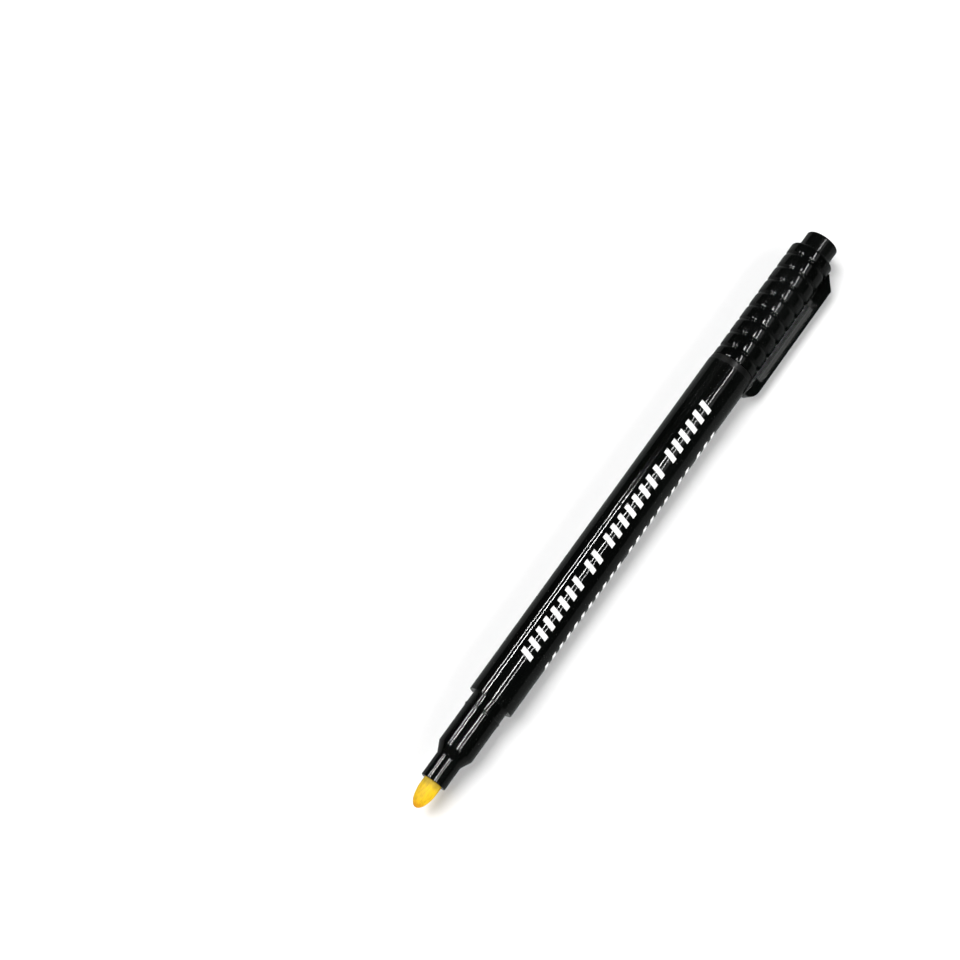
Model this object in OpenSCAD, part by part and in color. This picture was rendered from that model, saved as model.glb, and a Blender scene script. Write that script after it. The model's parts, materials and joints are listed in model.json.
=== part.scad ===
// Felt-tip test pen for banknotes, lying on a table with its cap posted on the rear end.
// X runs along the pen, from the nib (-X) to the closed end of the cap (+X), and Z is up.
// The origin is on the table, under the middle of the pen's outline.

/* [Barrel] */
// Length of the barrel tube
barrel_len = 87; // [70:1:110]
// Outside diameter of the barrel at its front edge
barrel_d = 10.1; // [8.2:0.1:14]
// Growth of the barrel's radius from its front edge to its rear edge
barrel_draft = 0.08; // [0.02:0.01:0.2]
// Wall of the barrel at its front edge
barrel_wall = 0.85; // [0.65:0.05:1.05]
// Bevel round the front edge of the barrel
barrel_edge = 0.15; // [0.05:0.05:0.3]
// Length of the short taper at the barrel's rear end
rear_taper_len = 1.5; // [0.8:0.1:3]
// Drop of the radius over that taper
rear_taper = 0.15; // [0.05:0.05:0.3]

/* [Front section] */
// Radial step from the barrel down to the cylinder that the cap closes over
seat_step = 1.05; // [0.9:0.05:1.3]
// Length of that cylinder on the front section
section_len = 12; // [10:0.1:16]
// Length of the cone between the cylinder and the nib tube
cone_len = 2.3; // [1.5:0.1:4]
// Length of the thin tube that grips the nib
nib_tube_len = 5.4; // [4:0.1:7]
// Wall of the thin tube
nib_tube_wall = 0.8; // [0.6:0.05:1]
// Distance from the barrel to the middle of the snap bead
bead_place = 2.85; // [2:0.05:5]
// Height of the snap bead above the cylinder
bead_height = 0.16; // [0.08:0.01:0.2]
// Width of the snap bead
bead_width = 0.9; // [0.6:0.05:1.4]
// Length of the stems that are pressed into the barrel
stem_len = 9; // [6:0.5:14]
// Number of air grooves down the outside of the front stem
air_grooves = 4; // [2:1:6]
// Width and depth of an air groove
air_groove = 0.5; // [0.3:0.05:0.6]

/* [Nib] */
// Diameter of the fibre nib
nib_d = 4.1; // [3.2:0.1:5]
// Length of nib that stands out of its tube
nib_show = 6.1; // [4:0.1:9]
// Length of nib inside the reservoir
nib_in_core = 5; // [3:0.5:10]
// Length of the bullet-shaped nose, at most as long as the nib stands out
nib_nose = 4.7; // [3:0.1:6]

/* [Reservoir] */
// Radial play of the wrapped reservoir in the barrel
reservoir_play = 0.45; // [0.2:0.05:0.8]
// Thickness of the film round the reservoir
film_wall = 0.1; // [0.05:0.01:0.2]
// Outside diameter of the breather tube
breather_d = 1; // [0.8:0.05:1.2]
// Bore of the breather tube
breather_bore = 0.6; // [0.3:0.05:0.65]
// Length that the breather tube stands out of the reservoir at each end
breather_out = 0.5; // [0.1:0.1:0.9]
// Free length between the reservoir and the stem at each end
reservoir_gap = 1; // [1:0.5:4]

/* [Tail plug] */
// Length of the post that the cap is pushed onto
post_len = 12; // [8:0.5:14.5]
// Wall of the tail plug
plug_wall = 0.85; // [0.6:0.05:1.2]
// Thickness of the closed end of the tail plug
plug_end = 1.2; // [0.8:0.1:2]

/* [Cap] */
// Length of the ribbed cap shell
cap_len = 30.3; // [25.2:0.1:40]
// Wall of the cap shell
cap_wall = 0.9; // [0.75:0.05:1.3]
// Number of grooves round the cap shell
cap_grooves = 8; // [4:1:9]
// Distance from the cap's mouth to its first groove
first_band = 2.5; // [2:0.1:5]
// Distance from the last groove to the cap's closed end
last_band = 2.8; // [2.5:0.1:5]
// Depth of a groove
groove_depth = 0.38; // [0.2:0.02:0.44]
// Length over which a band tapers down to the groove behind it
groove_taper = 1; // [0.6:0.1:1.4]
// Length over which the next band rises again from that groove
groove_rise = 0.45; // [0.3:0.05:0.7]
// Thickness of the cap shell's end wall
cap_end_wall = 1.4; // [1.3:0.1:3]
// Rounding of the cap shell's closed end
cap_corner = 1.1; // [0.4:0.1:1.2]

/* [Inner cap] */
// Radial step from the cap shell's bore in to the inner cap
stub_step = 0.35; // [0.2:0.05:0.5]
// Length of the inner cap that stands out of the shell as a stub
stub_len = 4; // [2:0.1:8]
// Distance from the cone to the inner cap's rim when the pen is closed
seal_place = 2.4; // [1.5:0.1:4]
// Radial relief of the inner cap past its sealing lip
seal_relief = 0.2; // [0.05:0.05:0.25]
// Length of the sealing lip
lip_len = 0.8; // [0.4:0.1:1.5]
// Thickness of the flange that holds the inner cap in the shell
flange_t = 1.4; // [0.8:0.1:2]
// Thickness of the inner cap's closed end
stub_end = 1; // [0.6:0.1:2]
// Rounding of the stub's end
stub_round = 0.5; // [0.2:0.1:1]

/* [Clip] */
// Width of the pocket clip
clip_w = 3.6; // [2.8:0.1:5]
// Thickness of the clip's bar
clip_t = 0.95; // [0.7:0.05:1.4]
// Space for cloth between the cap and the bar
clip_space = 1.55; // [1:0.05:2.5]
// Length of clip that reaches past the cap's mouth
clip_reach = 3.2; // [2:0.1:6]
// Length of the solid block at the clip's free end
clip_tip_len = 4.3; // [3.2:0.1:7]
// Length of the rounded bevel on the free end
clip_bevel = 2.6; // [1:0.1:3]
// Length of the solid web at the clip's root, without its slope
clip_root_len = 4.4; // [3:0.1:7]
// Length of the slope from the clip's back down to the cap
clip_slope = 2.7; // [1.5:0.1:4]
// Rounding of the clip's long outer edges and of its slot's corners
clip_round = 0.3; // [0.1:0.05:0.45]

/* [Fits] */
// Radial overlap of two pieces that are pressed together
press_overlap = 0.02; // [0.01:0.005:0.04]
// Radial clearance of the cap on its seat
cap_clearance = 0.05; // [0.02:0.01:0.07]
// Clearance round the parts that lie loose inside
loose_clearance = 0.08; // [0.04:0.01:0.1]
// Gap between the cap's mouth and the barrel
mouth_gap = 0.1; // [0.05:0.05:0.3]
// Gap between the clip's free end and the barrel
clip_gap = 0.2; // [0.1:0.05:0.4]
// Hairline gap where the clip bends from the cap shell
hinge_gap = 0.06; // [0.03:0.01:0.12]

/* [Hidden] */
$fn = 96;

// Radii of the pen
barrel_front_r = barrel_d / 2;
barrel_rear_r = barrel_front_r + barrel_draft;
barrel_bore_r = barrel_front_r - barrel_wall;
stem_r = barrel_bore_r + press_overlap;
seat_r = barrel_front_r - seat_step;
bead_r = seat_r + bead_height;
nib_r = nib_d / 2;
nib_tube_r = nib_r + nib_tube_wall;
nib_grip_r = nib_r - press_overlap;
film_r = barrel_bore_r - reservoir_play;
core_r = film_r - film_wall;
breather_r = breather_d / 2;
breather_groove_r = breather_r + loose_clearance / 2;
breather_offset = core_r - breather_r - loose_clearance;

// Radii of the cap
cap_bore_r = seat_r + cap_clearance;
cap_r = cap_bore_r + cap_wall;
stub_r = cap_bore_r - stub_step;
stub_hole_r = stub_r - press_overlap;
flange_r = cap_bore_r - cap_clearance;
seal_r = nib_tube_r + seal_relief;

// Stations along the pen, measured from the barrel's front edge
cone_rear = -section_len;
cone_front = cone_rear - cone_len;
tube_front = cone_front - nib_tube_len;
nib_front = tube_front - nib_show;
core_front = stem_len + reservoir_gap;
core_rear = barrel_len - stem_len - reservoir_gap;
nib_rear = core_front + nib_in_core;
post_rear = barrel_len + post_len;
mouth = barrel_len + mouth_gap;
snap_groove = mouth + bead_place - mouth_gap;
seal_rim = mouth + section_len + cone_len + seal_place;
shell_rear = mouth + cap_len;
shell_inside = shell_rear - cap_end_wall;
stub_rear = shell_rear + stub_len;
groove_pitch = (cap_len - first_band - last_band) / (cap_grooves - 1);

// Distances of the clip's surfaces from the pen's axis, and its stations
clip_bar_r = cap_r + clip_space;
clip_back_r = clip_bar_r + clip_t;
clip_foot_r = barrel_rear_r + clip_gap;
clip_root_r = cap_r + hinge_gap;
clip_front = mouth - clip_reach;
clip_rear = shell_rear - cap_corner;
clip_corner = shell_rear - cap_corner - clip_slope;
slot_front = clip_front + clip_tip_len;
slot_rear = clip_corner - clip_root_len;

// The pen lies on its barrel and on the lower edge of the clip, which sets how far round the clip points
edge_centre_r = norm([clip_back_r - clip_round, clip_w / 2 - clip_round]);
edge_centre_angle = atan2(clip_w / 2 - clip_round, clip_back_r - clip_round);
axis_height = barrel_rear_r;
clip_angle = asin((axis_height - clip_round) / edge_centre_r) - edge_centre_angle;
clip_side_reach = edge_centre_r * cos(clip_angle - edge_centre_angle) + clip_round;
axis_side = (clip_side_reach - barrel_rear_r) / 2;
middle = (stub_rear + nib_front) / 2;

// Length by which a cut runs past the face it opens
past = 1;

// Puts a shape drawn along Z, with the barrel's front edge at zero, on the pen's axis
module on_axis() {
    translate([-middle, axis_side, axis_height])
        rotate([0, 90, 0])
            children();
}

// A disc or cone between two stations
module turned(from, to, r_from, r_to) {
    translate([0, 0, from])
        cylinder(h = to - from, r1 = r_from, r2 = r_to);
}

// Long tube, open at both ends, with a short taper at its rear end
module barrel() {
    color("#101211")
        on_axis()
            difference() {
                rotate_extrude()
                    polygon([
                        [0, 0],
                        [barrel_front_r - barrel_edge, 0],
                        [barrel_front_r, barrel_edge],
                        [barrel_rear_r, barrel_len - rear_taper_len],
                        [barrel_rear_r - rear_taper, barrel_len],
                        [0, barrel_len],
                    ]);
                turned(-past, barrel_len + past, barrel_bore_r, barrel_bore_r);
            }
}

// Air grooves along the outside of the front stem
module stem_air_grooves() {
    for (i = [0 : air_grooves - 1])
        rotate([0, 0, (i + 0.5) * 360 / air_grooves])
            translate([stem_r - air_groove, -air_groove / 2, past])
                cube([2 * air_groove, air_groove, stem_len]);
}

// Nib holder: thin tube, cone, seat for the cap with its snap bead, and the stem pressed into the barrel
module front_section() {
    rim = 0.35;
    color("#101211")
        on_axis()
            difference() {
                rotate_extrude()
                    polygon([
                        [0, tube_front],
                        [nib_tube_r - rim, tube_front],
                        [nib_tube_r - rim * 0.3, tube_front + rim * 0.3],
                        [nib_tube_r, tube_front + rim],
                        [nib_tube_r, cone_front],
                        [seat_r - rim, cone_rear - rim / 2],
                        [seat_r, cone_rear + rim / 2],
                        [seat_r, -bead_place - bead_width / 2],
                        [bead_r, -bead_place - bead_width / 6],
                        [bead_r, -bead_place + bead_width / 6],
                        [seat_r, -bead_place + bead_width / 2],
                        [seat_r, 0],
                        [stem_r, 0],
                        [stem_r, stem_len - rim],
                        [stem_r - rim, stem_len],
                        [0, stem_len],
                    ]);
                turned(tube_front - past, stem_len + past, nib_grip_r, nib_grip_r);
                stem_air_grooves();
            }
}

// Bullet of pressed fibre: a straight rod whose nose is half an ellipse
module nib() {
    nose_len = min(nib_nose, nib_show);
    nose = [
        for (i = [0 : 15])
            [nib_r * sin(6 * i), nib_front + nose_len * (1 - cos(6 * i))],
    ];
    color("#f0c828")
        on_axis()
            rotate_extrude()
                polygon(concat(nose, [[nib_r, nib_rear], [0, nib_rear]]));
}

// Rod of fibre that holds the test fluid, with a socket for the nib and a groove for the breather tube
module reservoir_core() {
    color("#e8dcae")
        on_axis()
            difference() {
                turned(core_front, core_rear, core_r, core_r);
                turned(core_front - past, nib_rear, nib_grip_r, nib_grip_r);
                translate([breather_offset, 0, 0])
                    turned(core_front - past, core_rear + past, breather_groove_r, breather_groove_r);
                translate([breather_offset, -breather_groove_r, core_front - past])
                    cube([core_r, 2 * breather_groove_r, core_rear - core_front + 2 * past]);
            }
}

// Clear film wrapped round the reservoir
module reservoir_film() {
    inside_r = core_r - press_overlap;
    color("#d8e4ea")
        on_axis()
            difference() {
                turned(core_front, core_rear, film_r, film_r);
                turned(core_front - past, core_rear + past, inside_r, inside_r);
            }
}

// Thin tube beside the fibre that lets air pass from one end of the barrel to the other
module breather_tube() {
    from = core_front - breather_out;
    to = core_rear + breather_out;
    color("#f4f4f0")
        on_axis()
            translate([breather_offset, 0, 0])
                difference() {
                    turned(from, to, breather_r, breather_r);
                    turned(from - past, to + past, breather_bore / 2, breather_bore / 2);
                }
}

// Hollow plug pressed into the barrel's rear, with the post that the cap is pushed onto
module tail_plug() {
    rim = 0.4;
    stem_front = barrel_len - stem_len;
    hollow_r = seat_r - plug_wall;
    color("#101211")
        on_axis()
            difference() {
                rotate_extrude()
                    polygon([
                        [0, stem_front],
                        [stem_r - rim, stem_front],
                        [stem_r, stem_front + rim],
                        [stem_r, barrel_len],
                        [seat_r, barrel_len],
                        [seat_r, post_rear - rim],
                        [seat_r - rim, post_rear],
                        [0, post_rear],
                    ]);
                turned(stem_front - past, post_rear - plug_end, hollow_r, hollow_r);
            }
}

// One groove of the cap: the band before it tapers down to it, and the band behind it rises steeply
module cap_groove(place) {
    taper = [
        for (i = [0 : 4])
            [cap_r - groove_depth * (1 - cos(18 * i)), place - groove_taper * (1 - i / 5)],
    ];
    rise = [
        for (i = [0 : 4])
            [cap_r - groove_depth * (1 - sin(22.5 * i)), place + groove_rise * i / 4],
    ];
    outer = [[cap_r + past, place + groove_rise], [cap_r + past, place - groove_taper]];
    rotate_extrude()
        polygon(concat(taper, rise, outer));
}

// Ribbed sleeve, open at the mouth, with a snap groove inside and a hole in its end wall for the inner cap
module cap_shell() {
    lip = 0.25;
    lead = 0.3;
    rim = [[0, mouth], [cap_r - lip, mouth], [cap_r, mouth + lip]];
    corner = [
        for (i = [0 : 5])
            [cap_r - cap_corner * (1 - cos(18 * i)), shell_rear - cap_corner * (1 - sin(18 * i))],
    ];
    color("#101211")
        on_axis()
            difference() {
                rotate_extrude()
                    polygon(concat(rim, corner, [[0, shell_rear]]));
                for (i = [0 : cap_grooves - 1])
                    cap_groove(mouth + first_band + i * groove_pitch);
                turned(mouth - past, shell_inside, cap_bore_r, cap_bore_r);
                turned(shell_inside - past, shell_rear + past, stub_hole_r, stub_hole_r);
                turned(mouth - lead, mouth + lead, cap_bore_r + 2 * lead, cap_bore_r);
                rotate_extrude()
                    polygon([
                        [0, snap_groove - bead_width],
                        [cap_bore_r, snap_groove - bead_width],
                        [bead_r + cap_clearance, snap_groove - bead_width / 3],
                        [bead_r + cap_clearance, snap_groove + bead_width / 3],
                        [cap_bore_r, snap_groove + bead_width],
                        [0, snap_groove + bead_width],
                    ]);
            }
}

// Soft cup that seals round the nib tube when the pen is closed; its far end is the stub
module inner_cap() {
    rim = 0.2;
    color("#161817")
        on_axis()
            difference() {
                rotate_extrude()
                    polygon([
                        [0, seal_rim],
                        [stub_r - rim, seal_rim],
                        [stub_r, seal_rim + rim],
                        [stub_r, shell_inside - flange_t],
                        [flange_r, shell_inside - flange_t],
                        [flange_r, shell_inside],
                        [stub_r, shell_inside],
                        [stub_r, stub_rear - stub_round],
                        [stub_r - stub_round * 0.3, stub_rear - stub_round * 0.3],
                        [stub_r - stub_round, stub_rear],
                        [0, stub_rear],
                    ]);
                turned(seal_rim - past, seal_rim + 2 * lip_len, nib_tube_r, nib_tube_r);
                turned(seal_rim + lip_len, stub_rear - stub_end, seal_r, seal_r);
            }
}

// Side view of the clip, as distance from the axis against distance along the pen
module clip_side() {
    inner = min(clip_foot_r, clip_root_r) - past;
    bevel = [
        for (i = [0 : 6])
            [
                clip_foot_r + (clip_back_r - clip_foot_r) * sin(15 * i),
                clip_front + clip_bevel * (1 - cos(15 * i)),
            ],
    ];
    back = [
        [clip_back_r, clip_corner],
        [clip_root_r, clip_rear],
        [inner, clip_rear],
    ];
    slot = [
        [inner, slot_rear],
        [clip_bar_r - clip_round, slot_rear],
        [clip_bar_r, slot_rear - clip_round],
        [clip_bar_r, slot_front + clip_round],
        [clip_bar_r - clip_round, slot_front],
        [inner, slot_front],
        [inner, clip_front],
    ];
    polygon(concat(bevel, back, slot));
}

// End view of the clip, with its two outer long edges rounded
module clip_end() {
    rounded = [
        for (i = [0 : 5])
            [clip_back_r - clip_round * (1 - cos(18 * i)), clip_w / 2 - clip_round * (1 - sin(18 * i))],
    ];
    lower = [
        for (i = [5 : -1 : 0])
            [rounded[i][0], -rounded[i][1]],
    ];
    polygon(concat(rounded, [[0, clip_w / 2], [0, -clip_w / 2]], lower));
}

// Pocket clip: a straight bar with a solid web at its root and a block at its free end
module clip() {
    color("#101211")
        on_axis()
            rotate([0, 0, clip_angle - 90])
                difference() {
                    intersection() {
                        rotate([90, 0, 0])
                            linear_extrude(height = 2 * clip_w, center = true)
                                clip_side();
                        translate([0, 0, clip_front - past])
                            linear_extrude(height = clip_rear - clip_front + 2 * past)
                                clip_end();
                    }
                    turned(clip_front - past, slot_front + past, clip_foot_r, clip_foot_r);
                    turned(slot_rear - past, clip_rear + past, clip_root_r, clip_root_r);
                }
}

barrel();
front_section();
nib();
reservoir_core();
reservoir_film();
breather_tube();
tail_plug();
cap_shell();
inner_cap();
clip();
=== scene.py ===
import json
import math
import bmesh
import bpy
import numpy as np
from mathutils import Matrix, Vector


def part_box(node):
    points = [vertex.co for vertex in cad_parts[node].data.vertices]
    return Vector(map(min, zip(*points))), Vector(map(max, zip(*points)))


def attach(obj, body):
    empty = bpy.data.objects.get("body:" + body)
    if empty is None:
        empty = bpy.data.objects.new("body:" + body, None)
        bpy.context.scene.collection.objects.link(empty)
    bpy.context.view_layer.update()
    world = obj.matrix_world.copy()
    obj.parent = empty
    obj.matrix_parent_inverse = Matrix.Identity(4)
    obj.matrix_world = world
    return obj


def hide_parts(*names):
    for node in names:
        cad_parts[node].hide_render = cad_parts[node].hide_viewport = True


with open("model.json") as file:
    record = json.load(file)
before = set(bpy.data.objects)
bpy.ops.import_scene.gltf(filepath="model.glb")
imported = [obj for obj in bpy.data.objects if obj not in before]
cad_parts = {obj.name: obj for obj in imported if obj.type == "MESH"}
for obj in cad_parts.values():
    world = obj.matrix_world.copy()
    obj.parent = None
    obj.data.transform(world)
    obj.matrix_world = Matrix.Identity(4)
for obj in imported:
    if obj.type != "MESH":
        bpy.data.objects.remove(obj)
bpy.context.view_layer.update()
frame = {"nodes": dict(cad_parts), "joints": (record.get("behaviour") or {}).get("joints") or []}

# Sizes are in millimetres and stations are measured from the barrel's front edge, as in the CAD model
mm = 0.001
barrelLow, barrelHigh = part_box("barrel")
penAxis = (barrelLow + barrelHigh) / 2
frontEdge = barrelLow.x


def stations(node):
    # Where a CAD node starts and ends along the pen
    low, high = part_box(node)
    return (low.x - frontEdge) / mm, (high.x - frontEdge) / mm


def widestRadius(node):
    # Half the height of a CAD node that is round about the pen's axis
    low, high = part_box(node)
    return (high.z - low.z) / 2 / mm


def jointAxis(name):
    return [joint["axis"] for joint in frame["joints"] if joint["name"] == name][0]


barrelEnd = stations("barrel")[1]
barrelRadius = widestRadius("barrel")
nibRadius = widestRadius("nib")
capMouth, capEnd = stations("cap_shell")
capRadius = widestRadius("cap_shell")
print("frame read: barrel %.1f mm long, cap %.1f mm long" % (barrelEnd, capEnd - capMouth))


# Outlines: how finely corners are rounded, and how much of a side a rounding may take up

outlineFineness = {"arcStep": 9.0, "leastSteps": 2, "support": 0.07, "sideShare": 0.48}


def roundedPath(corners, closed):
    # Each corner (x, y, rounding) becomes an arc that touches both its sides. One more point on each side,
    # just past the arc, keeps the straight part flat when it is shaded. A corner with no rounding stays as
    # a point.
    points = np.array([corner[:2] for corner in corners], float)
    path = []
    for i, corner in enumerate(corners):
        rounding = corner[2] if len(corner) > 2 else 0
        atEnd = not closed and i in (0, len(corners) - 1)
        if rounding == 0 or atEnd:
            path.append(points[i])
            continue
        back = points[i - 1] - points[i]
        ahead = points[(i + 1) % len(points)] - points[i]
        backLength, aheadLength = np.linalg.norm(back), np.linalg.norm(ahead)
        back, ahead = back / backLength, ahead / aheadLength
        halfAngle = math.acos(np.clip(back @ ahead, -1, 1)) / 2
        room = outlineFineness["sideShare"] * min(backLength, aheadLength)
        reach = min(rounding / math.tan(halfAngle), room)
        radius = reach * math.tan(halfAngle)
        middle = points[i] + (back + ahead) / np.linalg.norm(back + ahead) * radius / math.sin(halfAngle)
        start, end = points[i] + back * reach - middle, points[i] + ahead * reach - middle
        turn = math.pi - 2 * halfAngle
        steps = max(outlineFineness["leastSteps"], math.ceil(math.degrees(turn) / outlineFineness["arcStep"]))
        t = np.linspace(0, 1, steps + 1)[:, None]
        arc = middle + (np.sin((1 - t) * turn) * start + np.sin(t * turn) * end) / math.sin(turn)
        flat = reach + outlineFineness["support"]
        if flat < room:
            arc = np.vstack([points[i] + back * flat, arc, points[i] + ahead * flat])
        path.extend(arc)
    return np.array(path)


# Meshes

ringPoints = 160


def meshObject(name, points, faces):
    # Points in millimetres about the pen become an object in metres at the origin, with its faces outwards
    points = np.asarray(points, float).reshape(-1, 3)
    place = np.array([frontEdge, penAxis.y, penAxis.z])
    mesh = bpy.data.meshes.new(name)
    mesh.from_pydata((points * mm + place).tolist(), [], faces)
    shell = bmesh.new()
    shell.from_mesh(mesh)
    bmesh.ops.recalc_face_normals(shell, faces=shell.faces)
    shell.to_mesh(mesh)
    shell.free()
    mesh.polygons.foreach_set("use_smooth", np.ones(len(mesh.polygons), bool))
    mesh.update()
    piece = bpy.data.objects.new(name, mesh)
    bpy.context.collection.objects.link(piece)
    return piece


def gridFaces(rows, columns, rowsJoin, columnsJoin):
    # The four corners of every cell of a grid whose point numbers run row by row
    number = np.arange(rows * columns).reshape(rows, columns)
    if rowsJoin:
        number = np.vstack([number, number[:1]])
    if columnsJoin:
        number = np.hstack([number, number[:, :1]])
    cells = np.stack([number[:-1, :-1], number[1:, :-1], number[1:, 1:], number[:-1, 1:]], axis=-1)
    return cells.reshape(-1, 4)


def turnedPiece(name, outline, turns=ringPoints, shape=None):
    # A point (x, r) of the outline goes round the pen's axis: y = r cos a, z = r sin a. The function shape
    # may change r with the station and the angle. Where an open outline starts and ends on the axis, the
    # end is closed by a fan of triangles round one point.
    outline = np.asarray(outline, float)
    isOpen = outline[0, 1] == 0 and outline[-1, 1] == 0
    rings = outline[1:-1] if isOpen else outline
    angle = np.linspace(0, 2 * math.pi, turns, endpoint=False)[None, :]
    x = np.repeat(rings[:, :1], turns, axis=1)
    r = np.repeat(rings[:, 1:], turns, axis=1)
    if shape:
        r = shape(x, r, angle)
    points = np.stack([x, r * np.cos(angle), r * np.sin(angle)], axis=-1).reshape(-1, 3)
    faces = gridFaces(len(rings), turns, not isOpen, True).tolist()
    if isOpen:
        poles = np.array([[outline[0, 0], 0, 0], [outline[-1, 0], 0, 0]])
        pole = np.full(turns, len(points))
        ring = np.arange(turns)
        after = np.roll(ring, -1)
        lastRing = (len(rings) - 1) * turns
        faces += np.stack([pole, ring, after], axis=-1).tolist()
        faces += np.stack([pole + 1, lastRing + after, lastRing + ring], axis=-1).tolist()
        points = np.vstack([points, poles])
    return meshObject(name, points, faces)


# Materials

seedSpread = (1.0, 1.7, 2.3)


def addNode(tree, kind, inputs=None, **settings):
    # A node with its settings, whose inputs are given as values or as the sockets they come from
    node = tree.nodes.new(kind)
    for key, value in settings.items():
        setattr(node, key, value)
    for key, value in (inputs or {}).items():
        if isinstance(value, bpy.types.NodeSocket):
            tree.links.new(value, node.inputs[key])
        else:
            node.inputs[key].default_value = value
    return node


def newMaterial(name):
    material = bpy.data.materials.new(name)
    material.use_nodes = True
    material.node_tree.nodes.clear()
    return material, material.node_tree


def finishMaterial(tree, inputs):
    shader = addNode(tree, "ShaderNodeBsdfPrincipled", inputs)
    addNode(tree, "ShaderNodeOutputMaterial", {"Surface": shader.outputs["BSDF"]})


def stretchedPlace(tree, scale, seed=0.0):
    # Object coordinates centred on the pen's axis, scaled along and across the pen and moved by the seed
    place = addNode(tree, "ShaderNodeTexCoord")
    centred = addNode(tree, "ShaderNodeVectorMath", {0: place.outputs["Object"], 1: tuple(penAxis)},
                      operation="SUBTRACT")
    mapping = addNode(tree, "ShaderNodeMapping", {"Vector": centred.outputs["Vector"]})
    mapping.inputs["Scale"].default_value = (scale[0], scale[1], scale[1])
    mapping.inputs["Location"].default_value = [seed * share for share in seedSpread]
    return mapping.outputs["Vector"]


def noise(tree, scale, seed, detail=2.0, roughness=0.5):
    # Noise with this many grains a metre along and across the pen
    texture = addNode(tree, "ShaderNodeTexNoise",
                      {"Vector": stretchedPlace(tree, scale, seed), "Scale": 1.0, "Detail": detail,
                       "Roughness": roughness})
    return texture.outputs["Fac"]


def remap(tree, value, span, low=0.0, high=1.0):
    # Eases from low to high while the value crosses the span
    node = addNode(tree, "ShaderNodeMapRange", {"Value": value, "From Min": span[0], "From Max": span[1],
                                                "To Min": low, "To Max": high})
    node.interpolation_type = "SMOOTHSTEP"
    return node.outputs["Result"]


def calculate(tree, operation, *values):
    return addNode(tree, "ShaderNodeMath", dict(enumerate(values)), operation=operation).outputs["Value"]


def blendColours(tree, factor, first, second):
    node = addNode(tree, "ShaderNodeMix", {0: factor}, data_type="RGBA")
    for key, value in ((6, first), (7, second)):
        if isinstance(value, bpy.types.NodeSocket):
            tree.links.new(value, node.inputs[key])
        else:
            node.inputs[key].default_value = (*value, 1)
    return node.outputs[2]


def bump(tree, height, distance, before=None):
    # Height times distance, in metres, added to the bumps before it
    inputs = {"Height": height, "Distance": distance, "Strength": 1.0}
    if before is not None:
        inputs["Normal"] = before
    return addNode(tree, "ShaderNodeBump", inputs).outputs["Normal"]


def distanceFromAxis(tree):
    # Radius of a point about the pen's axis, in millimetres
    place = stretchedPlace(tree, (0.0, 1 / mm))
    return addNode(tree, "ShaderNodeVectorMath", {0: place}, operation="LENGTH").outputs["Value"]


# The patterns in the black plastic: how far each one's seed lies from the piece's own, its grains a metre
# along and across the pen where all pieces share them, its detail, and the span over which it sets in
plasticPatterns = {
    "haze": {"seed": 0.0, "grain": (55, 160), "detail": 4.0, "span": (0.42, 0.75)},
    "hairlines": {"seed": 3.1, "detail": 1.0, "span": (0.68, 0.76)},
    "dust": {"seed": 7.7, "grain": (5200, 5200), "detail": 0.0, "span": (0.80, 0.84)},
    "wear": {"seed": 11.3, "grain": (300, 420), "detail": 3.0, "span": (0.45, 0.7)},
    "waves": {"seed": 1.3, "detail": 1.0},
    "skin": {"seed": 5.9, "grain": (1500, 2200), "detail": 2.0},
}
plastic = {"matteBlend": 0.25, "crownDepth": 0.09, "dustColour": (0.16, 0.16, 0.15), "dustRoughness": 0.4,
           "ior": 1.5, "specular": 0.22}


def blackPlastic(name, look):
    # Polished mould surface: slow waves along the flow, hairline scratches, haze from handling, sparse dust.
    # It may have a matte end past one station, and a crown scuffed where another piece slides over it.
    material, tree = newMaterial(name)

    def pattern(kind, grain=None, high=1.0):
        facts = plasticPatterns[kind]
        value = noise(tree, grain or facts["grain"], look["seed"] + facts["seed"], facts["detail"])
        return remap(tree, value, facts["span"], 0.0, high) if "span" in facts else value

    haze = pattern("haze")
    hairlines = pattern("hairlines", (look["hairAlong"], look["hairAcross"]))
    dust = pattern("dust", high=look["dust"])
    roughness = calculate(tree, "MULTIPLY_ADD", haze, look["haze"], look["roughness"])
    roughness = calculate(tree, "MULTIPLY_ADD", hairlines, look["hairRoughness"], roughness)
    colour = blendColours(tree, haze, look["colour"], look["hazeColour"])
    if "matteFrom" in look:
        place = addNode(tree, "ShaderNodeSeparateXYZ", {"Vector": stretchedPlace(tree, (1 / mm, 1 / mm))})
        edge = (frontEdge - penAxis.x) / mm + look["matteFrom"]
        span = (edge - plastic["matteBlend"], edge + plastic["matteBlend"])
        matte = remap(tree, place.outputs["X"], span, 0.0, look["matte"])
        roughness = calculate(tree, "ADD", roughness, matte)
    if "crown" in look:
        rubbed = remap(tree, distanceFromAxis(tree), (look["crown"] - plastic["crownDepth"], look["crown"]))
        rubbed = calculate(tree, "MULTIPLY", rubbed, pattern("wear"))
        roughness = calculate(tree, "MULTIPLY_ADD", rubbed, look["wear"], roughness)
    colour = blendColours(tree, dust, colour, plastic["dustColour"])
    roughness = calculate(tree, "ADD", roughness, calculate(tree, "MULTIPLY", dust, plastic["dustRoughness"]))
    waves = pattern("waves", (look["waveAlong"], look["waveAcross"]))
    normal = bump(tree, waves, look["waveHeight"] * mm)
    normal = bump(tree, pattern("skin"), look["skinHeight"] * mm, normal)
    normal = bump(tree, hairlines, -look["hairDepth"] * mm, normal)
    finishMaterial(tree, {"Base Color": colour, "Roughness": roughness, "Normal": normal,
                          "IOR": plastic["ior"], "Specular IOR Level": plastic["specular"]})
    return material


def dressPiece(piece, material):
    piece.data.materials.clear()
    piece.data.materials.append(material)


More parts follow.
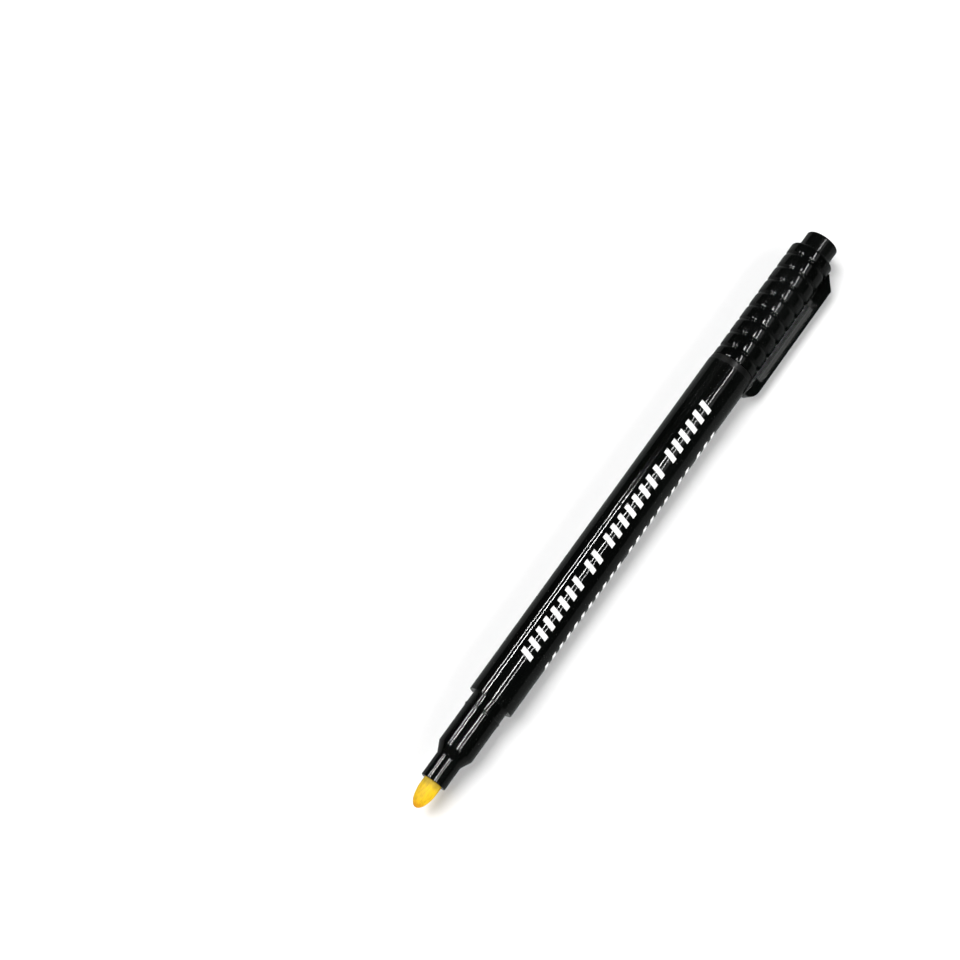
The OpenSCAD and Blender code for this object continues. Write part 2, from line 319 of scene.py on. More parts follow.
def addPiece(piece, material, body, slot=None, *nodes):
    # Gives a piece its material and the body it moves with, and hides the CAD nodes it stands for. The slot
    # is not used.
    dressPiece(piece, material)
    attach(piece, body)
    if nodes:
        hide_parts(*nodes)
    return piece


# Barrel: a long tube, open at both ends, with a short taper at its rear end

barrel = {
    "draft": 0.08, "wall": 0.85, "rearTaper": 1.5, "rearDrop": 0.15, "shoulderRounding": 0.6,
    "rimRounding": 0.12, "innerRounding": 0.1, "matte": 0.24,
}
blackLook = {
    "seed": 0.0, "colour": (0.0012, 0.0014, 0.0013), "hazeColour": (0.0026, 0.003, 0.0028),
    "roughness": 0.06, "haze": 0.04, "hairAlong": 35, "hairAcross": 5200, "hairRoughness": 0.1,
    "hairDepth": 0.0004, "dust": 0.25, "waveAlong": 900, "waveAcross": 620, "waveHeight": 0.02,
    "skinHeight": 0.0004,
}
barrelFrontRadius = barrelRadius - barrel["draft"]
boreRadius = barrelFrontRadius - barrel["wall"]


def makeBarrel():
    outline = roundedPath([
        (0, boreRadius, barrel["innerRounding"]),
        (0, barrelFrontRadius, barrel["rimRounding"]),
        (barrelEnd - barrel["rearTaper"], barrelRadius, barrel["shoulderRounding"]),
        (barrelEnd, barrelRadius - barrel["rearDrop"], barrel["rimRounding"]),
        (barrelEnd, boreRadius, barrel["innerRounding"]),
    ], True)
    piece = turnedPiece("barrel_tube", outline)
    look = dict(blackLook, matteFrom=barrelEnd - barrel["rearTaper"], matte=barrel["matte"])
    return addPiece(piece, blackPlastic("black barrel plastic", look), "pen", "black_barrel", "barrel")


makeBarrel()
print("barrel made")


# Print: rows of plain slanted bars in white ink

printLines = [
    {"name": "print_top", "marks": (8, 2, 8, 6), "from": 10.6, "to": 76.0, "turn": 15.5},
    {"name": "print_side", "marks": (11, 9, 3), "from": 11.4, "to": 72.8, "turn": 96.0},
]
printMark = {
    "height": 2.9, "fill": 0.47, "space": 0.65, "slant": 0.75, "thickness": 0.03, "along": 3, "round": 12,
}
inkLook = {
    "white": (0.86, 0.86, 0.85), "under": (0.03, 0.03, 0.03), "leastCover": 0.82,
    "thinGrain": (900, 1500), "thinSeed": 21.0, "thinSpan": (0.28, 0.44),
    "holeGrain": (4200, 4200), "holeSeed": 23.0, "holeSpan": (0.20, 0.26),
    "glossGrain": (700, 700), "glossSeed": 25.0, "glossSpan": (0.3, 0.7),
    "roughness": (0.32, 0.5), "relief": 0.004, "ior": 1.45,
}


def markStarts(line):
    # The first station of each bar, in equal steps with a space of part of a step between two groups, and the
    # width of a bar
    group = np.repeat(np.arange(len(line["marks"])), line["marks"])
    steps = np.arange(len(group)) + group * printMark["space"]
    step = (line["to"] - line["from"] - printMark["slant"]) / (steps[-1] + printMark["fill"])
    return line["from"] + steps * step, step * printMark["fill"]


def makePrint(line, ink):
    # Each bar is a patch of the barrel's surface: x runs along the pen and leans with the height v, which
    # runs round the barrel as the angle v / r. Solidify gives it the thickness of the ink.
    start, width = markStarts(line)
    u = np.linspace(0, 1, printMark["along"])[None, :, None]
    v = np.linspace(-0.5, 0.5, printMark["round"])[None, None, :]
    x = start[:, None, None] + width * u + printMark["slant"] * (0.5 - v)
    radius = barrelFrontRadius + barrel["draft"] * x / barrelEnd + printMark["thickness"] / 2
    angle = math.radians(line["turn"]) + v * printMark["height"] / radius
    points = np.stack([x, -radius * np.sin(angle), radius * np.cos(angle)], axis=-1)
    cells = gridFaces(printMark["along"], printMark["round"], False, False)
    perMark = printMark["along"] * printMark["round"]
    faces = (np.arange(len(start))[:, None, None] * perMark + cells[None]).reshape(-1, 4)
    piece = meshObject(line["name"], points, faces.tolist())
    solid = piece.modifiers.new("ink thickness", "SOLIDIFY")
    solid.thickness = printMark["thickness"] * mm
    solid.offset = 0
    return addPiece(piece, ink, "pen")


def whiteInk():
    # Pad-printed ink: thin in places, where the black shows through, with pinholes
    material, tree = newMaterial("white ink")
    thin = remap(tree, noise(tree, inkLook["thinGrain"], inkLook["thinSeed"], 3.0), inkLook["thinSpan"])
    pinholes = remap(tree, noise(tree, inkLook["holeGrain"], inkLook["holeSeed"], 0.0), inkLook["holeSpan"])
    cover = calculate(tree, "MULTIPLY", remap(tree, thin, (0.0, 1.0), inkLook["leastCover"]), pinholes)
    gloss = noise(tree, inkLook["glossGrain"], inkLook["glossSeed"])
    finishMaterial(tree, {
        "Base Color": blendColours(tree, cover, inkLook["under"], inkLook["white"]),
        "Roughness": remap(tree, gloss, inkLook["glossSpan"], *inkLook["roughness"]),
        "Normal": bump(tree, cover, inkLook["relief"] * mm), "IOR": inkLook["ior"]})
    return material


ink = whiteInk()
for line in printLines:
    makePrint(line, ink)
print("print made: %d bars" % sum(sum(line["marks"]) for line in printLines))


# Front section: nib tube, cone, seat of the cap with its snap bead, and the stem pressed into the barrel

frontSection = {
    "seatStep": 1.05, "seatLength": 12.0, "coneLength": 2.3, "tubeRadius": 2.85, "grip": 0.02,
    "beadPlace": 2.85, "beadHeight": 0.16, "beadWidth": 0.9, "beadSteps": 10, "shoulderGap": 0.06,
    "tubeRounding": 0.16, "coneRounding": 0.35, "holeRounding": 0.1, "stemRounding": 0.3, "edge": 0.05,
    "airGrooves": 4, "airGrooveDepth": 0.5, "airGrooveStart": 1.0, "airGrooveFrom": 0.92,
}
seatRadius = barrelFrontRadius - frontSection["seatStep"]
sectionLook = dict(blackLook, seed=2.0, hairAlong=4200, hairAcross=90, hairRoughness=0.06, crown=seatRadius,
                   wear=0.015)


def beadOutline(place, base, height, width):
    # A raised ring: its height follows half a cosine wave across its width
    t = np.linspace(-1, 1, frontSection["beadSteps"] + 1)
    return [(place + width / 2 * s, base + height * (1 + math.cos(math.pi * s)) / 2) for s in t]


def makeFrontSection():
    tubeFront, stemEnd = stations("front_section")
    stemRadius = widestRadius("front_section")
    coneRear = -frontSection["seatLength"]
    coneFront = coneRear - frontSection["coneLength"]
    holeRadius = nibRadius - frontSection["grip"]
    tubeRadius = frontSection["tubeRadius"]
    shoulder = -frontSection["shoulderGap"]
    bead = beadOutline(-frontSection["beadPlace"], seatRadius, frontSection["beadHeight"],
                       frontSection["beadWidth"])
    outline = roundedPath([
        (tubeFront, holeRadius, frontSection["holeRounding"]),
        (tubeFront, tubeRadius, frontSection["tubeRounding"]),
        (coneFront, tubeRadius, frontSection["coneRounding"]),
        (coneRear, seatRadius, frontSection["coneRounding"]),
        *bead,
        (shoulder, seatRadius, frontSection["edge"]),
        (shoulder, stemRadius, frontSection["edge"]),
        (stemEnd, stemRadius, frontSection["stemRounding"]),
        (stemEnd, holeRadius, frontSection["holeRounding"]),
    ], True)

    def airGrooves(x, r, angle):
        # The stem's radius drops where the cosine of a few turns is near its top
        across = np.cos(frontSection["airGrooves"] * angle) > frontSection["airGrooveFrom"]
        onStem = (x > frontSection["airGrooveStart"]) & (r > seatRadius)
        return np.where(across & onStem, r - frontSection["airGrooveDepth"], r)

    piece = turnedPiece("nib_holder", outline, shape=airGrooves)
    material = blackPlastic("black section plastic", sectionLook)
    return addPiece(piece, material, "pen", "black_section", "front_section")


makeFrontSection()
print("front section made")


# Nib: a bullet of pressed fibre

nib = {
    "nose": 4.7, "edge": 0.1, "turns": 184, "rings": 64, "seed": 11, "fibres": 46, "fibreDepth": 0.028,
    "waves": 9, "waveSpread": (0.4, 1.6), "waveShare": 3, "drift": 0.5,
    "smoothPoint": 0.2, "pointFade": 1.2, "tubeFade": 0.4,
}
# Colours from the point to the tube, with their shares of the way
nibLook = {
    "colours": ((0.12, (0.72, 0.28, 0.003)), (0.35, (0.78, 0.46, 0.004)), (0.85, (0.77, 0.49, 0.009)),
                (1.0, (0.50, 0.33, 0.016))),
    "driftGrain": (500, 900), "driftSeed": 31.0, "driftShare": 0.24,
    "fibreGrain": (260, 5200), "fibreSeed": 33.0, "fibreBreak": 0.6, "fibreSpan": (0.3, 0.7),
    "shade": (0.74, 1.1), "roughness": (0.45, 0.75), "relief": 0.03,
    "feltGrain": (2600, 2600), "feltSeed": 35.0, "feltRelief": 0.01,
    "ior": 1.45, "specular": 0.15, "soak": 0.1, "soakRadius": (0.0008, 0.0005, 0.0001),
}


def makeNib():
    # The nose is half an ellipse: the radius is the rod's times sin a, and the station its length times
    # 1 - cos a. Fibre ridges run along it: a sum of cosines round the rod, whose phases drift along it,
    # fading at the point and at the tube.
    front, rear = stations("nib")
    tubeFront = stations("front_section")[0]
    swing = np.linspace(0, math.pi / 2, nib["rings"])[1:]
    nose = np.stack([front + nib["nose"] * (1 - np.cos(swing)), nibRadius * np.sin(swing)], axis=-1)
    rod = np.array([[tubeFront, nibRadius], [tubeFront + nib["edge"], nibRadius],
                    [rear - nib["edge"], nibRadius], [rear, nibRadius - nib["edge"]]])
    outline = np.vstack([[[front, 0]], nose, rod, [[rear, 0]]])
    random = np.random.default_rng(nib["seed"])
    count = np.round(nib["fibres"] * random.uniform(*nib["waveSpread"], nib["waves"]))
    phase = random.uniform(0, 2 * math.pi, nib["waves"])
    drift = random.uniform(-nib["drift"], nib["drift"], nib["waves"])

    def fibres(x, r, angle):
        wave = sum(np.cos(n * angle + p + d * (x - front)) for n, p, d in zip(count, phase, drift))
        wave = wave / nib["waveShare"]
        fade = np.clip((x - front - nib["smoothPoint"]) / nib["pointFade"], 0, 1)
        fade = fade * np.clip((tubeFront - x) / nib["tubeFade"], 0, 1)
        return r + nib["fibreDepth"] * (wave - 1) / 2 * fade

    piece = turnedPiece("fibre_nib", outline, nib["turns"], fibres)
    return addPiece(piece, nibFibre(front, tubeFront), "pen", "nib_fibre", "nib")


def nibFibre(front, tubeFront):
    # Soaked felt: deeper orange at the point, browner by the tube, with pale and dark fibres along it
    material, tree = newMaterial("yellow nib fibre")
    place = addNode(tree, "ShaderNodeTexCoord")
    split = addNode(tree, "ShaderNodeSeparateXYZ", {"Vector": place.outputs["Object"]})
    along = addNode(tree, "ShaderNodeMapRange", {
        "Value": split.outputs["X"], "From Min": frontEdge + front * mm,
        "From Max": frontEdge + tubeFront * mm, "To Min": 0.0, "To Max": 1.0}).outputs["Result"]
    drift = noise(tree, nibLook["driftGrain"], nibLook["driftSeed"])
    along = calculate(tree, "MULTIPLY_ADD", drift, nibLook["driftShare"], along)
    ramp = addNode(tree, "ShaderNodeValToRGB", {"Fac": along})
    stops = ramp.color_ramp.elements
    colours = nibLook["colours"]
    for stop, (position, colour) in zip(stops, (colours[0], colours[-1])):
        stop.position = position
        stop.color = (*colour, 1)
    for position, colour in colours[1:-1]:
        stops.new(position).color = (*colour, 1)
    fibre = noise(tree, nibLook["fibreGrain"], nibLook["fibreSeed"], 3.0, nibLook["fibreBreak"])
    felt = noise(tree, nibLook["feltGrain"], nibLook["feltSeed"], 3.0)
    colour = addNode(tree, "ShaderNodeVectorMath", {0: ramp.outputs["Color"]}, operation="SCALE")
    shade = remap(tree, fibre, nibLook["fibreSpan"], *nibLook["shade"])
    tree.links.new(shade, colour.inputs["Scale"])
    normal = bump(tree, felt, nibLook["feltRelief"] * mm, bump(tree, fibre, nibLook["relief"] * mm))
    finishMaterial(tree, {
        "Base Color": colour.outputs["Vector"], "Normal": normal,
        "Roughness": remap(tree, fibre, nibLook["fibreSpan"], *nibLook["roughness"]),
        "IOR": nibLook["ior"], "Specular IOR Level": nibLook["specular"],
        "Subsurface Weight": nibLook["soak"], "Subsurface Radius": nibLook["soakRadius"],
        "Subsurface Scale": 1.0})
    return material


makeNib()
print("nib made")


# Tail plug: stem in the barrel's rear, and the hollow post that the cap is pushed onto

tailPlug = {"wall": 0.85, "end": 1.2, "shoulderGap": 0.05, "rounding": 0.4, "edge": 0.05,
            "mouthRounding": 0.1, "floorRounding": 0.3}


def makeTailPlug():
    stemFront, postEnd = stations("tail_plug")
    stemRadius = widestRadius("tail_plug")
    hollow = seatRadius - tailPlug["wall"]
    shoulder = barrelEnd + tailPlug["shoulderGap"]
    outline = roundedPath([
        (postEnd, 0),
        (postEnd, seatRadius, tailPlug["rounding"]),
        (shoulder, seatRadius, tailPlug["edge"]),
        (shoulder, stemRadius, tailPlug["edge"]),
        (stemFront, stemRadius, tailPlug["rounding"]),
        (stemFront, hollow, tailPlug["mouthRounding"]),
        (postEnd - tailPlug["end"], hollow, tailPlug["floorRounding"]),
        (postEnd - tailPlug["end"], 0),
    ], False)
    material = blackPlastic("black post plastic", dict(sectionLook, seed=5.0))
    return addPiece(turnedPiece("tail_post", outline), material, "pen", "black_section", "tail_plug")


makeTailPlug()
print("tail plug made")


# Cap: ribbed shell

cap = {
    "wall": 0.9, "grooves": 8, "firstBand": 2.5, "lastBand": 2.8, "grooveDepth": 0.38, "grooveTaper": 1.0,
    "grooveRise": 0.45, "taperSteps": 14, "riseSteps": 8, "endWall": 1.4, "corner": 1.1, "lip": 0.25,
    "lead": 0.3, "leadRounding": 0.2, "mouthEdge": 0.06, "hole": 3.68, "holeRounding": 0.08, "holeEdge": 0.05,
    "floorRounding": 0.3, "closedGap": 0.1, "snapDepth": 0.16, "snapWidth": 1.8,
}
capLook = dict(blackLook, seed=3.0, hairAlong=60, hairAcross=4200, waveAlong=260, waveAcross=300,
               waveHeight=0.004, crown=capRadius, wear=0.02, dust=0.12)


def grooveOutline(place):
    # Radius across one groove: the band before it falls as a quarter cosine, and the next one rises as a
    # quarter sine
    fall = np.linspace(0, 1, cap["taperSteps"] + 1)
    rise = np.linspace(0, 1, cap["riseSteps"] + 1)[1:]
    offset = np.concatenate([cap["grooveTaper"] * (fall - 1), cap["grooveRise"] * rise])
    share = np.concatenate([1 - np.cos(math.pi / 2 * fall), 1 - np.sin(math.pi / 2 * rise)])
    return np.stack([place + offset, capRadius - share * cap["grooveDepth"]], axis=-1)


def makeCapShell():
    bore = capRadius - cap["wall"]
    inside = capEnd - cap["endWall"]
    first, last = capMouth + cap["firstBand"], capEnd - cap["lastBand"]
    outer = [tuple(p) for place in np.linspace(first, last, cap["grooves"]) for p in grooveOutline(place)]
    snap = capMouth - cap["closedGap"] + frontSection["beadPlace"]
    snapGroove = beadOutline(snap, bore, cap["snapDepth"], cap["snapWidth"])[::-1]
    outline = roundedPath([
        (capMouth + cap["lead"], bore, cap["leadRounding"]),
        (capMouth, bore + cap["lead"], cap["mouthEdge"]),
        (capMouth, capRadius, cap["lip"]),
        *outer,
        (capEnd, capRadius, cap["corner"]),
        (capEnd, cap["hole"], cap["holeRounding"]),
        (inside, cap["hole"], cap["holeEdge"]),
        (inside, bore, cap["floorRounding"]),
        *snapGroove,
    ], True)
    piece = turnedPiece("ribbed_cap", outline)
    return addPiece(piece, blackPlastic("black cap plastic", capLook), "cap", "black_cap", "cap_shell")


makeCapShell()
print("cap shell made")


# Inner cap: the soft cup whose closed end stands out of the shell as a stub

innerCap = {
    "stubRadius": 3.7, "holeRadius": 3.05, "sealRadius": 2.85, "lip": 0.8, "lipSlope": 0.3, "flange": 1.4,
    "end": 1.0, "stubRounding": 0.45, "stubEdge": 0.05, "rimRounding": 0.2, "sealRounding": 0.15,
    "smallRounding": 0.1, "floorRounding": 0.4,
}


def makeInnerCap():
    rim, stubEnd = stations("inner_cap")
    inside = capEnd - cap["endWall"]
    flangeRadius = widestRadius("inner_cap")
    stubRadius = innerCap["stubRadius"]
    holeRadius = innerCap["holeRadius"]
    sealRadius = innerCap["sealRadius"]
    flangeFront, lipRear = inside - innerCap["flange"], rim + innerCap["lip"]
    small = innerCap["smallRounding"]
    outline = roundedPath([
        (stubEnd, 0),
        (stubEnd, stubRadius, innerCap["stubRounding"]),
        (inside, stubRadius, innerCap["stubEdge"]),
        (inside, flangeRadius, small),
        (flangeFront, flangeRadius, small),
        (flangeFront, stubRadius, small),
        (rim, stubRadius, innerCap["rimRounding"]),
        (rim, sealRadius, innerCap["sealRounding"]),
        (lipRear, sealRadius, small),
        (lipRear + innerCap["lipSlope"], holeRadius, small),
        (stubEnd - innerCap["end"], holeRadius, innerCap["floorRounding"]),
        (stubEnd - innerCap["end"], 0),
    ], False)
    look = dict(blackLook, seed=4.0, roughness=0.1, haze=0.05, colour=(0.0022, 0.0025, 0.0023),
                waveHeight=0.006)
    return addPiece(turnedPiece("stub_cup", outline), blackPlastic("black seal plastic", look), "cap",
                    "black_seal", "inner_cap")


makeInnerCap()
print("inner cap made")


# Pocket clip: a straight bar with a web at its root and a block at its free end

clip = {
    "width": 3.6, "thickness": 0.95, "space": 1.55, "tipLength": 4.3, "bevel": 2.6, "rootLength": 4.4,
    "slope": 2.7, "footGap": 0.2, "rootGap": 0.06, "bowStart": 0.25, "rearFlat": 0.12,
    "slotRounding": 0.35, "backRounding": 0.25, "footRounding": 0.3, "rearRounding": 0.15, "rootEdge": 0.05,
    "webEdge": 0.06, "bowSteps": 12, "edgeSteps": 6, "middleRows": 9, "support": 0.06,
}
# The long edges are more rounded on the back than towards the pen, and least beside the foot and the root
clipEdge = {"back": 0.3, "inner": 0.22, "low": 0.1, "lowOutside": 0.1, "lowDepth": 0.5, "backShare": 0.4,
            "bevelShare": 0.9, "pastCorner": 0.1, "evenings": 3}
# The two faces against round parts: how far above the foot and the root they reach, and where the split
# between them lies, measured from the clip's rear
clipSeat = {"height": 0.2, "splitFromRear": 15}


def clipOutline():
    # Side view as (station, distance from the pen's axis), and the rounding of the long edges at each point
    front, rear = stations("clip")
    bar = capRadius + clip["space"]
    back = bar + clip["thickness"]
    foot = barrelRadius + clip["footGap"]
    root = capRadius + clip["rootGap"]
    corner = rear - clip["slope"]
    slotFront, slotRear = front + clip["tipLength"], corner - clip["rootLength"]
    swing = np.linspace(0, math.pi / 2, clip["bowSteps"])
    bowStation = front + clip["bevel"] * (1 - np.cos(swing))
    bowHeight = foot + clip["bowStart"] + (back - foot - clip["bowStart"]) * np.sin(swing)
    path = roundedPath([
        (front, foot, clip["footRounding"]),
        *zip(bowStation, bowHeight),
        (corner, back, clip["backRounding"]),
        (rear, root + clip["rearFlat"], clip["rearRounding"]),
        (rear, root, clip["rootEdge"]),
        (slotRear, root, clip["webEdge"]),
        (slotRear, bar, clip["slotRounding"]),
        (slotFront, bar, clip["slotRounding"]),
        (slotFront, foot, clip["footRounding"]),
    ], True)
    isBack = path[:, 1] > bar + clip["thickness"] * clipEdge["backShare"]
    isBow = path[:, 0] < front + clip["bevel"] * clipEdge["bevelShare"]
    outside = isBack | isBow | (path[:, 0] > corner + clipEdge["pastCorner"])
    edge = np.where(outside, clipEdge["back"], clipEdge["inner"])
    lowEdge = np.minimum(edge, clipEdge["low"] + clipEdge["lowOutside"] * outside)
    edge = np.where(path[:, 1] < bar - clipEdge["lowDepth"], lowEdge, edge)
    for _ in range(clipEdge["evenings"]):
        edge = (np.roll(edge, 1) + 2 * edge + np.roll(edge, -1)) / 4
    return path, edge, foot, root


def outwardNormals(path):
    # The mitred normal at each point of a closed outline, pointing out of it
    ahead = np.roll(path, -1, axis=0) - path
    sideNormal = np.stack([ahead[:, 1], -ahead[:, 0]], axis=-1) / np.linalg.norm(ahead, axis=1)[:, None]
    before = np.roll(sideNormal, 1, axis=0)
    mitre = (sideNormal + before) / (1 + np.sum(sideNormal * before, axis=1))[:, None]
    area = np.sum(path[:, 0] * np.roll(path[:, 1], -1) - np.roll(path[:, 0], -1) * path[:, 1])
    return mitre * np.sign(area)


def makeClip():
    # The side view is carried across the width. At both edges a quarter circle draws it in, and the two faces
    # against round parts follow them: they sag by the radius less the root of its square less the width's.
    path, edge, foot, root = clipOutline()
    normal = outwardNormals(path)
    half = clip["width"] / 2
    support = clip["support"]
    beta = np.linspace(math.pi / 2, 0, clip["edgeSteps"] + 1)
    sideWidth = half - edge[None, :] * (1 - np.sin(beta))[:, None]
    sideDraw = edge[None, :] * (1 - np.cos(beta))[:, None]
    flankWidth = np.full((1, len(path)), half)
    flankDraw = edge[None, :] + support
    share = np.linspace(1, -1, clip["middleRows"])[1:-1, None]
    middleWidth = share * (half - edge[None, :] - support)
    middleDraw = np.zeros_like(middleWidth)
    upperWidth = np.vstack([flankWidth, sideWidth, half - edge[None, :] - support])
    upperDraw = np.vstack([flankDraw, sideDraw, np.zeros((1, len(path)))])
    width = np.vstack([upperWidth, middleWidth, -upperWidth[::-1]])
    draw = np.vstack([upperDraw, middleDraw, upperDraw[::-1]])
    station = path[None, :, 0] - draw * normal[None, :, 0]
    height = path[None, :, 1] - draw * normal[None, :, 1]
    split = stations("clip")[1] - clipSeat["splitFromRear"]
    atFoot = (path[:, 1] < foot + clipSeat["height"]) & (path[:, 0] < split)
    atRoot = (path[:, 1] < root + clipSeat["height"]) & (path[:, 0] > split)
    sag = np.where(atFoot[None, :], foot - np.sqrt(foot ** 2 - width ** 2), 0)
    sag = np.where(atRoot[None, :], root - np.sqrt(root ** 2 - width ** 2), sag)
    height = height - sag
    across = np.array(jointAxis("clip_flex"))
    outward = np.array([0, -across[2], across[1]])
    alongPen = np.array([1.0, 0, 0])
    points = station[..., None] * alongPen + height[..., None] * outward + width[..., None] * across
    rows, columns = station.shape
    faces = gridFaces(rows, columns, False, True).tolist()
    faces.append(list(range(columns)))
    faces.append(list(range((rows - 1) * columns, rows * columns))[::-1])
    piece = meshObject("pocket_clip", points, faces)
    look = dict(capLook, seed=6.0, hairAlong=80)
    look.pop("crown")
    return addPiece(piece, blackPlastic("black clip plastic", look), "clip", "black_cap", "clip")


makeClip()
print("clip made")


# Inside the barrel: the CAD nodes keep their shapes

fibreLook = {"grain": (90, 3800), "seed": 41.0, "span": (0.35, 0.65), "dark": (0.62, 0.42, 0.12),
             "pale": (0.84, 0.68, 0.34), "roughness": 0.8, "relief": 0.03, "ior": 1.45, "sheen": 0.2}
filmLook = {"grain": (160, 900), "seed": 43.0, "span": (0.3, 0.7), "first": (0.86, 0.9, 0.92),
            "second": (0.94, 0.96, 0.97), "roughness": (0.06, 0.16), "relief": 0.02, "ior": 1.45,
            "clear": 0.9}
tubeLook = {"grain": (60, 4200), "seed": 45.0, "first": (0.78, 0.78, 0.75), "second": (0.88, 0.88, 0.86),
            "roughness": 0.42, "relief": 0.006, "ior": 1.5}


def fibreBundle():
    material, tree = newMaterial("soaked reservoir fibre")
    strands = noise(tree, fibreLook["grain"], fibreLook["seed"], 3.0)
    isPale = remap(tree, strands, fibreLook["span"])
    finishMaterial(tree, {
        "Base Color": blendColours(tree, isPale, fibreLook["dark"], fibreLook["pale"]),
        "Roughness": fibreLook["roughness"], "Normal": bump(tree, strands, fibreLook["relief"] * mm),
        "IOR": fibreLook["ior"], "Sheen Weight": fibreLook["sheen"]})
    return material


def clearFilm():
    material, tree = newMaterial("clear film")
    wrinkles = noise(tree, filmLook["grain"], filmLook["seed"], 3.0)
    finishMaterial(tree, {
        "Base Color": blendColours(tree, wrinkles, filmLook["first"], filmLook["second"]),
        "Roughness": remap(tree, wrinkles, filmLook["span"], *filmLook["roughness"]), "IOR": filmLook["ior"],
        "Normal": bump(tree, wrinkles, filmLook["relief"] * mm), "Transmission Weight": filmLook["clear"]})
    return material


def whiteTube():
    material, tree = newMaterial("white breather tube")
    drawLines = noise(tree, tubeLook["grain"], tubeLook["seed"])
    finishMaterial(tree, {
        "Base Color": blendColours(tree, drawLines, tubeLook["first"], tubeLook["second"]),
        "Roughness": tubeLook["roughness"], "Normal": bump(tree, drawLines, tubeLook["relief"] * mm),
        "IOR": tubeLook["ior"]})
    return material


for node, material in (("reservoir_core", fibreBundle()), ("reservoir_film", clearFilm()),
                       ("breather_tube", whiteTube())):
    dressPiece(frame["nodes"][node], material)
print("inner pieces dressed")


# Floor, lights and camera

table = {"size": 6.0, "grain": (900, 900), "seed": 51.0, "dark": (0.89, 0.89, 0.89),
         "pale": (0.91, 0.91, 0.91), "roughness": 0.7, "relief": 0.01, "ior": 1.4, "specular": 0.2}


def makeFloor():
    corners = np.array([[-1, -1, 0], [1, -1, 0], [1, 1, 0], [-1, 1, 0]]) * table["size"] / 2
    mesh = bpy.data.meshes.new("floor")
    mesh.from_pydata(corners.tolist(), [], [[0, 1, 2, 3]])
    floor = bpy.data.objects.new("floor", mesh)
    bpy.context.collection.objects.link(floor)
    material, tree = newMaterial("white table")
    paper = noise(tree, table["grain"], table["seed"], 3.0)
    finishMaterial(tree, {
        "Base Color": blendColours(tree, paper, table["dark"], table["pale"]),
        "Roughness": table["roughness"], "Normal": bump(tree, paper, table["relief"] * mm),
        "IOR": table["ior"], "Specular IOR Level": table["specular"]})
    mesh.materials.append(material)
    floor.visible_glossy = False


# Each light stands at this angle from straight up, towards the clip's side of the pen, and faces the pen. Its
# length lies along the pen, turned about the line to the pen, and slide moves it along its own length. The
# tubes and the panel are seen only in gloss, and the softbox and the fill only light the surfaces.
tube = {"distance": 1.2, "width": 0.014}
lights = {
    "softbox": dict(angle=-25, distance=1.3, slide=-0.15, turn=0, length=1.3, width=1.1, power=24),
    "fill": dict(angle=62, distance=1.3, slide=0.0, turn=0, length=2.2, width=1.1, power=26),
    "outer tube": dict(tube, angle=-50.3, slide=-0.455, turn=0, length=1.21, power=16),
    "inner tube": dict(tube, angle=-34.3, slide=-0.455, turn=0, length=1.21, power=22),
    "near tube": dict(tube, angle=9.7, slide=-0.415, turn=18, length=1.29, power=20),
    "far tube": dict(tube, angle=25.7, slide=-0.16, turn=18, length=1.8, power=15),
    "dim panel": dict(angle=33, distance=1.2, slide=0.49, turn=0, length=0.7, width=0.26, power=0.75),
}
lightMiddle = Vector((0.16, penAxis.y, penAxis.z))
unseenInGloss = ("softbox", "fill")


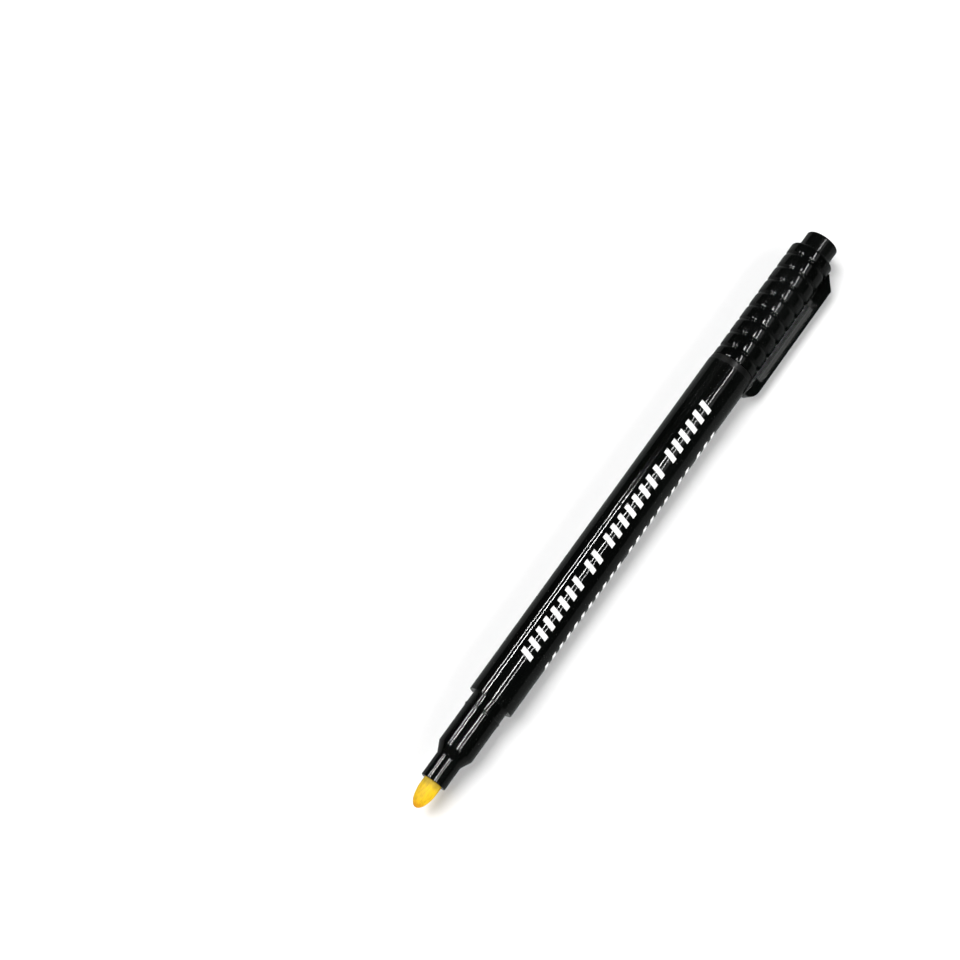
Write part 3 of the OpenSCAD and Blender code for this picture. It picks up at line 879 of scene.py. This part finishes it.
def makeLight(name, place):
    angle = math.radians(place["angle"])
    outward = Vector((0, -math.sin(angle), math.cos(angle)))
    lamp = bpy.data.lights.new(name, "AREA")
    lamp.shape = "RECTANGLE"
    lamp.size, lamp.size_y = place["length"], place["width"]
    lamp.energy = place["power"]
    light = bpy.data.objects.new(name, lamp)
    along = Matrix.Rotation(math.radians(place["turn"]), 3, outward) @ Vector((1, 0, 0))
    turn = Matrix((along, outward.cross(along), outward)).transposed().to_4x4()
    middle = lightMiddle + outward * place["distance"] + along * place["slide"]
    light.matrix_world = Matrix.Translation(middle) @ turn
    bpy.context.collection.objects.link(light)
    light.visible_glossy = name not in unseenInGloss
    light.visible_diffuse = name in unseenInGloss


camera = {"azimuth": -39.6, "elevation": 70.0, "roll": -15.58, "distance": 0.5036, "lens": 90, "sensor": 36,
          "nearest": 0.01, "aim": (-0.0093, 0.0319, 0.00006)}


def makeCamera():
    # The camera stands back from the aim point along its azimuth and elevation, then rolls about its own axis
    azimuth, elevation = math.radians(camera["azimuth"]), math.radians(camera["elevation"])
    back = Vector((math.sin(azimuth) * math.cos(elevation), -math.cos(azimuth) * math.cos(elevation),
                   math.sin(elevation)))
    level = Vector((math.cos(azimuth), math.sin(azimuth), 0))
    turn = Matrix((level, back.cross(level), back)).transposed().to_4x4()
    turn = turn @ Matrix.Rotation(math.radians(camera["roll"]), 4, "Z")
    data = bpy.data.cameras.new("camera")
    data.lens = camera["lens"]
    data.sensor_width = camera["sensor"]
    data.clip_start = camera["nearest"]
    view = bpy.data.objects.new("camera", data)
    view.matrix_world = Matrix.Translation(Vector(camera["aim"]) + back * camera["distance"]) @ turn
    bpy.context.collection.objects.link(view)
    bpy.context.scene.camera = view


surroundings = {"above": (0.008, 0.0085, 0.0085), "below": (0.35, 0.36, 0.355), "horizon": 0.02}


def makeWorld():
    # A dim room above the horizon. Below it lies the grey that polished surfaces mirror of the table, which
    # is itself unseen in gloss.
    world = bpy.data.worlds.new("dim room")
    world.use_nodes = True
    tree = world.node_tree
    direction = addNode(tree, "ShaderNodeTexCoord")
    height = addNode(tree, "ShaderNodeSeparateXYZ", {"Vector": direction.outputs["Generated"]})
    isAbove = remap(tree, height.outputs["Z"], (-surroundings["horizon"], surroundings["horizon"]))
    colour = blendColours(tree, isAbove, surroundings["below"], surroundings["above"])
    tree.links.new(colour, tree.nodes["Background"].inputs["Color"])
    bpy.context.scene.world = world
    bpy.context.scene.view_settings.view_transform = "Standard"


makeFloor()
for name, place in lights.items():
    makeLight(name, place)
makeCamera()
makeWorld()
print("floor, lights and camera made")
